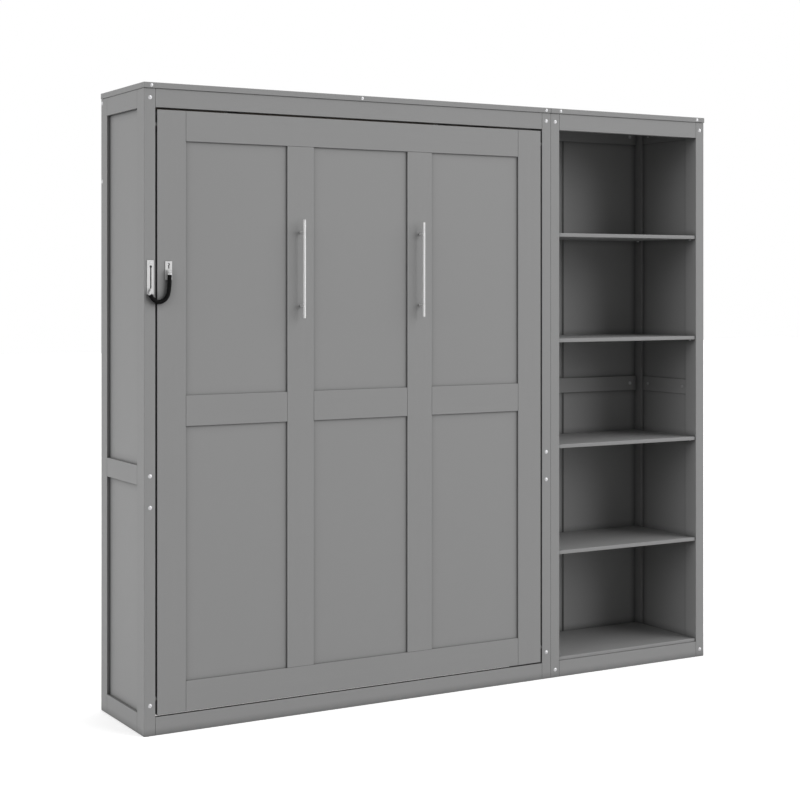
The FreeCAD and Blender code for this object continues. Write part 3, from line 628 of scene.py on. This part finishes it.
class WALLBED_OT_plates(bpy.types.Operator):
    """Finish the pivot plates, brackets and bushes, and add the pin caps."""

    bl_idname = "wallbed.plates"
    bl_label = "Pivot and bracket plates"

    def execute(self, context):
        names = ("pivot_plates", "strut_brackets", "wall_brackets")
        coat(names, zinc_plate())
        ease_edges(names, 0.0004, 2)
        coat(("pivot_bushes",),
             moulded_plastic("bush_nylon", (0.66, 0.65, 0.61), (0.76, 0.75, 0.71)))
        ease_edges(("pivot_bushes",), 0.0004, 2)
        shape = bmesh.new()
        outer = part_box("bed_side_boards")
        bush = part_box("pivot_bushes")
        middle = (bush[0] + bush[1]) / 2
        for inner_face, sign in ((outer[0].x + SIDE_BOARD_T, 1), (outer[1].x - SIDE_BOARD_T, -1)):
            centre = Vector((inner_face + sign * 0.0012, middle.y, middle.z))
            add_disc_x(shape, centre, 0.0125, 0.0012)
            add_disc_x(shape, centre + Vector((sign * 0.0036, 0, 0)), 0.0085, 0.0024, 6)
        new_piece("pin_caps", "bed", shape, plated_steel(), 0.0004)
        return {"FINISHED"}


class WALLBED_OT_bed_frame(bpy.types.Operator):
    """Finish the slats and add their end holders, middle clips and board screws."""

    bl_idname = "wallbed.bed_frame"
    bl_label = "Slatted frame"

    def execute(self, context):
        coat(("slats", "slat_supports"), plywood())
        ease_edges(("slats",), 0.0022, 3, 50.0, True)
        ease_edges(("slat_supports",), 0.0009, 2)
        holder = bmesh.new()
        clip = bmesh.new()
        wall = SLAT_HOLDER_WALL
        reach = SLAT_HOLDER_REACH
        for low, high in loose_boxes("slats"):
            for start, stop in ((low.x, low.x + reach), (high.x - reach, high.x)):
                back = high.y
                add_block(holder, (start, back, low.z - wall), (stop, back + wall, high.z + wall))
                for edge, far in ((low.z - wall, low.z), (high.z, high.z + wall)):
                    add_block(holder, (start, low.y, edge), (stop, back, far))
            middle = (low.x + high.x) / 2
            add_block(clip, (middle - MIDDLE_BEAM_HALF, high.y, low.z - wall),
                      (middle + MIDDLE_BEAM_HALF, high.y + wall, high.z + wall))
            for edge, far in ((low.z - wall, low.z), (high.z, high.z + wall)):
                add_block(clip, (middle - MIDDLE_BEAM_HALF, low.y, edge),
                          (middle + MIDDLE_BEAM_HALF, high.y, far))
        dark = moulded_plastic("holder_plastic", (0.022, 0.022, 0.023), (0.036, 0.036, 0.038))
        new_piece("slat_holders", "bed", holder, dark, 0.0007)
        new_piece("slat_clips", "bed", clip, dark, 0.0007)
        self.board_screws()
        return {"FINISHED"}

    def board_screws(self):
        """Flat screw heads down the inner faces of the side boards."""
        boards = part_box("bed_side_boards")
        shape = bmesh.new()
        for x, sign in ((boards[0].x + SIDE_BOARD_T, 1), (boards[1].x - SIDE_BOARD_T, -1)):
            for i in range(BOARD_SCREW_COUNT):
                z = boards[0].z + BOARD_SCREW_FROM + i * BOARD_SCREW_PITCH
                centre = Vector((x + sign * 0.0005, boards[1].y - 0.035, z))
                add_disc_x(shape, centre, 0.0048, 0.0005, 32, 0.0016)
        new_piece("board_screws", "bed", shape, plated_steel(), 0.0002)


class WALLBED_OT_struts(bpy.types.Operator):
    """Finish the cylinders and rods of the gas struts."""

    bl_idname = "wallbed.struts"
    bl_label = "Gas struts"

    def execute(self, context):
        for side in ("left", "right"):
            coat(("strut_cylinder_" + side,), black_powder())
            coat(("strut_rod_" + side,), polished_rod())
            ease_edges(("strut_cylinder_" + side, "strut_rod_" + side), 0.0005, 2, 40.0, True)
        return {"FINISHED"}


class WALLBED_OT_foot_leg(bpy.types.Operator):
    """Finish the folding leg and add the collars beside its feet."""

    bl_idname = "wallbed.foot_leg"
    bl_label = "Foot leg"

    def execute(self, context):
        coat(("leg_arms", "leg_cross_tube"), black_powder())
        coat(("leg_feet",), rubber())
        ease_edges(("leg_arms", "leg_cross_tube"), 0.0006, 2, 40.0, True)
        ease_edges(("leg_feet",), 0.0016, 3, 40.0, True)
        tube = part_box("leg_cross_tube")
        centre_y = (tube[0].y + tube[1].y) / 2
        centre_z = (tube[0].z + tube[1].z) / 2
        radius = (tube[1].z - tube[0].z) / 2
        shape = bmesh.new()
        for x in (tube[0].x + 0.002, tube[1].x - 0.002):
            add_disc_x(shape, (x, centre_y, centre_z), radius + 0.0016, 0.0018, 48, radius)
        new_piece("leg_collars", "foot_leg", shape, black_powder(), 0.0006)
        return {"FINISHED"}


class WALLBED_OT_chain(bpy.types.Operator):
    """Lay the sleeved chain between its hinge plate and the stud in the slot."""

    bl_idname = "wallbed.chain"
    bl_label = "Safety chain"

    def execute(self, context):
        plates = ("chain_slot_plate", "chain_anchor_plate", "chain_fittings")
        coat(plates, brushed_steel("brushed_plate", (1500, 1500, 30), 0.86))
        ease_edges(plates, 0.0004, 2, 40.0, True)
        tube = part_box("chain_sleeve")
        radius = (tube[1].y - tube[0].y) / 2
        y = (tube[1].y + tube[0].y) / 2
        hinge_x = tube[1].x - radius
        top_z = tube[1].z
        line = bpy.data.curves.new("chain_route", "CURVE")
        line.dimensions = "3D"
        line.resolution_u = 40
        spline = line.splines.new("NURBS")
        spline.points.add(len(CHAIN_ROUTE) - 1)
        for point, (dx, dz) in zip(spline.points, CHAIN_ROUTE):
            point.co = (hinge_x + dx, y, top_z + dz, 1.0)
        spline.order_u = 3
        spline.use_endpoint_u = True
        path = points_along(line)
        shape = sleeve_over_links(path, radius)
        sleeve = new_piece("chain_sleeve_black", "chain", shape, sleeve_black())
        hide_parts("chain_sleeve")
        self.shade_slot_pocket()
        return {"FINISHED"}

    def shade_slot_pocket(self):
        """Near-black sheet of painted shade at the bottom of the pocket behind the slotted plate."""
        low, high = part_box("chain_slot_plate")
        inset = 0.0055
        shape = bmesh.new()
        add_block(shape, (low.x + inset, high.y + 0.0025, low.z + 0.014),
                  (high.x - inset, high.y + 0.0035, high.z - 0.018))
        # near-black plastic sheet stands in for the shade inside the pocket
        dark = moulded_plastic("pocket_shade", (0.02, 0.02, 0.02), (0.032, 0.032, 0.032))
        new_piece("slot_pocket_painted_shade", "cabinet", shape, dark, 0.0003)


def points_along(line):
    """Points that a bare curve passes, in order."""
    holder = bpy.data.objects.new("route_reader", line)
    bpy.context.scene.collection.objects.link(holder)
    drawn = bpy.data.meshes.new_from_object(holder)
    points = [vert.co.copy() for vert in drawn.vertices]
    bpy.data.objects.remove(holder)
    bpy.data.meshes.remove(drawn)
    return points


def sleeve_over_links(path, radius, pitch=0.0165, sides=40):
    """Tight sleeve over a chain: it swells over each link, every other one turned a quarter."""
    spacing = 0.0005
    runs = [(q - p).length for p, q in zip(path, path[1:])]
    total = sum(runs)
    count = int(total / spacing)
    shape = bmesh.new()
    rings = []
    across = Vector((0, 1, 0))
    step = 0
    walked = 0.0
    for i in range(count + 1):
        want = total * i / count
        while step < len(runs) - 1 and walked + runs[step] < want:
            walked += runs[step]
            step += 1
        along = (path[step + 1] - path[step]).normalized()
        centre = path[step] + along * min(want - walked, runs[step])
        side = across.cross(along).normalized()
        phase = math.pi * want / pitch
        wide = math.cos(phase) ** 2
        ring = []
        for j in range(sides):
            turn = 2 * math.pi * j / sides
            flat = wide * math.cos(turn) ** 2 + (1 - wide) * math.sin(turn) ** 2
            reach = radius * (0.92 + 0.075 * flat)
            ring.append(shape.verts.new(
                centre + (across * math.cos(turn) + side * math.sin(turn)) * reach))
        rings.append(ring)
    for here, there in zip(rings, rings[1:]):
        for j in range(sides):
            k = (j + 1) % sides
            shape.faces.new((here[j], here[k], there[k], there[j]))
    shape.faces.new(rings[0])
    shape.faces.new(list(reversed(rings[-1])))
    return shape


class WALLBED_OT_stage(bpy.types.Operator):
    """Set the floor, the soft lights and the camera."""

    bl_idname = "wallbed.stage"
    bl_label = "Studio stage"

    def execute(self, context):
        settings = context.scene.wall_bed_stage
        self.floor(settings)
        self.lights(settings)
        self.camera(context, settings)
        context.scene.view_settings.view_transform = "Standard"
        return {"FINISHED"}

    def floor(self, settings):
        """A large pale floor to look at, and a dimmer one that only bounces light."""
        for name, level, tint, glow in (("studio_floor", 0.0, 1.0, 0.35),
                                        ("bounce_floor", -0.0005, 0.22, 0.0)):
            shape = bmesh.new()
            bmesh.ops.create_grid(shape, x_segments=1, y_segments=1, size=30.0,
                                  matrix=Matrix.Translation((0, 0, level)))
            data = bpy.data.meshes.new(name)
            shape.to_mesh(data)
            shape.free()
            piece = bpy.data.objects.new(name, data)
            bpy.context.scene.collection.objects.link(piece)
            colour = shade(settings.floor, tint)

            def recipe(place, colour=colour, glow=glow):
                mottle = place.noise(0.6, 2.0)
                return {"Base Color": mottle.blend(shade(colour, 0.99), shade(colour, 1.01)),
                        "Roughness": 0.8 + mottle * 0.05, "Specular IOR Level": 0.2,
                        "Emission Color": (1.0, 1.0, 1.0, 1.0), "Emission Strength": glow}

            data.materials.append(material(name, recipe))
            seen = name == "studio_floor"
            piece.visible_camera = seen
            piece.visible_glossy = seen
            piece.visible_diffuse = not seen
            piece.visible_shadow = not seen

    def lights(self, settings):
        """Surroundings that brighten behind the bed, and two broad soft lights."""
        world = bpy.data.worlds.new("studio_world")
        world.use_nodes = True
        tree = world.node_tree
        back = tree.nodes["Background"]
        place = tree.nodes.new("ShaderNodeTexCoord")
        way = Wire(tree, place.outputs["Generated"])
        front = way.part("Z").eased(-0.1, 0.5, settings.sky_low, settings.sky_high)
        behind = way.part("Y").eased(-0.25, 0.45)
        level = front * (1 - behind) + behind * settings.sky_back
        back.inputs["Color"].default_value = (1.0, 1.0, 1.0, 1.0)
        tree.links.new(level.socket, back.inputs["Strength"])
        bpy.context.scene.world = world
        for name, azimuth, elevation, strength, angle in (
                ("key", 52.0, 23.0, settings.key_strength, 62.0),
                ("side", -82.0, 22.0, settings.side_strength, 50.0)):
            data = bpy.data.lights.new(name, "SUN")
            data.energy = strength
            data.angle = math.radians(angle)
            lamp = bpy.data.objects.new(name, data)
            turn = math.radians(azimuth)
            rise = math.radians(elevation)
            source = Vector((math.sin(turn) * math.cos(rise), -math.cos(turn) * math.cos(rise),
                             math.sin(rise)))
            lamp.location = source * 6
            lamp.rotation_euler = (-source).to_track_quat("-Z", "Y").to_euler()
            bpy.context.scene.collection.objects.link(lamp)

    def camera(self, context, settings):
        """Camera at standing height, turned towards the right, with upright verticals."""
        data = bpy.data.cameras.new("camera")
        data.lens = settings.lens
        data.sensor_width = 36.0
        data.shift_y = -0.14486
        data.clip_end = 200.0
        eye = bpy.data.objects.new("camera", data)
        eye.location = (-3.3310, -5.5286, 1.5482)
        eye.rotation_euler = (math.radians(90), 0, math.radians(-30.2))
        context.scene.collection.objects.link(eye)
        context.scene.camera = eye


class WALLBED_PT_panel(bpy.types.Panel):
    """Sidebar panel with every step of the bed."""

    bl_idname = "WALLBED_PT_panel"
    bl_label = "Wall Bed"
    bl_space_type = "VIEW_3D"
    bl_region_type = "UI"
    bl_category = "Wall Bed"

    def draw(self, context):
        for group in (context.scene.wall_bed_finish, context.scene.wall_bed_stage):
            for name in group.__annotations__:
                self.layout.prop(group, name)
        for step in STEPS:
            self.layout.operator(step.bl_idname)


STEPS = (
    WALLBED_OT_boards,
    WALLBED_OT_panels,
    WALLBED_OT_pull_bars,
    WALLBED_OT_fasteners,
    WALLBED_OT_plates,
    WALLBED_OT_bed_frame,
    WALLBED_OT_struts,
    WALLBED_OT_foot_leg,
    WALLBED_OT_chain,
    WALLBED_OT_stage,
)
CLASSES = (WallBedFinish, WallBedStage) + STEPS + (WALLBED_PT_panel,)


def register():
    """Add the classes and their settings to Blender."""
    for cls in CLASSES:
        bpy.utils.register_class(cls)
    bpy.types.Scene.wall_bed_finish = bpy.props.PointerProperty(type=WallBedFinish)
    bpy.types.Scene.wall_bed_stage = bpy.props.PointerProperty(type=WallBedStage)


def unregister():
    """Take them away again."""
    del bpy.types.Scene.wall_bed_stage
    del bpy.types.Scene.wall_bed_finish
    for cls in reversed(CLASSES):
        bpy.utils.unregister_class(cls)


def main():
    """Run every step in order."""
    register()
    bpy.ops.wallbed.boards()
    bpy.ops.wallbed.panels()
    bpy.ops.wallbed.pull_bars()
    bpy.ops.wallbed.fasteners()
    bpy.ops.wallbed.plates()
    bpy.ops.wallbed.bed_frame()
    bpy.ops.wallbed.struts()
    bpy.ops.wallbed.foot_leg()
    bpy.ops.wallbed.chain()
    bpy.ops.wallbed.stage()


if __name__ == "__main__":
    main()
